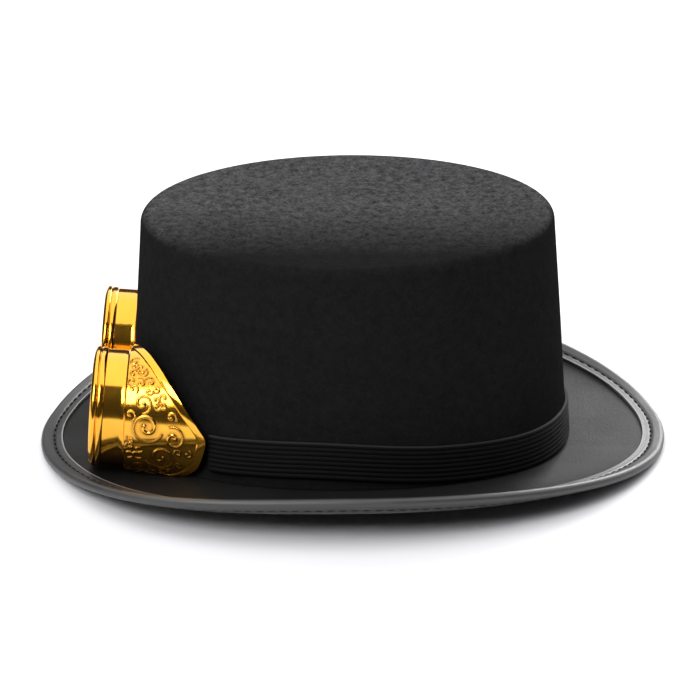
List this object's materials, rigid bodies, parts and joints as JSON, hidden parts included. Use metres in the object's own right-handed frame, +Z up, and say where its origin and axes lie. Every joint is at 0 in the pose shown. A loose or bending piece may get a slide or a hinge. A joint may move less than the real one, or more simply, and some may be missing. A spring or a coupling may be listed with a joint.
{
  "type": "top hat with goggles",
  "caption": "Black felt top hat with a bound, side-curled brim and gilt goggles held to the front of the crown by a ribbed elastic.",
  "frame": {"origin": "on the floor under the middle of the hat", "axes": "-Y is the front where the goggles are, +X is the wearer's left, +Z is up"},
  "size_m": [0.249, 0.292, 0.113],
  "materials": {
    "felt": "black felt, fuzzy on the crown, smoother on the brim",
    "satin": "folded hem with a grey satin sheen and one line of stitches",
    "elastic": "black elastic with fine lengthwise ribs",
    "gilt": "bright gold plating on moulded plastic",
    "glass": "dark glossy lens"
  },
  "bodies": {
    "root": {"crown": "felt", "brim": "felt", "brim_binding": "satin", "elastic_strap": "elastic", "goggle_cup_left": "gilt", "goggle_bezel_left": "gilt", "goggle_lens_left": "glass", "goggle_cup_right": "gilt", "goggle_bezel_right": "gilt", "goggle_lens_right": "glass", "nose_bridge": "gilt"}
  },
  "joints": []
}
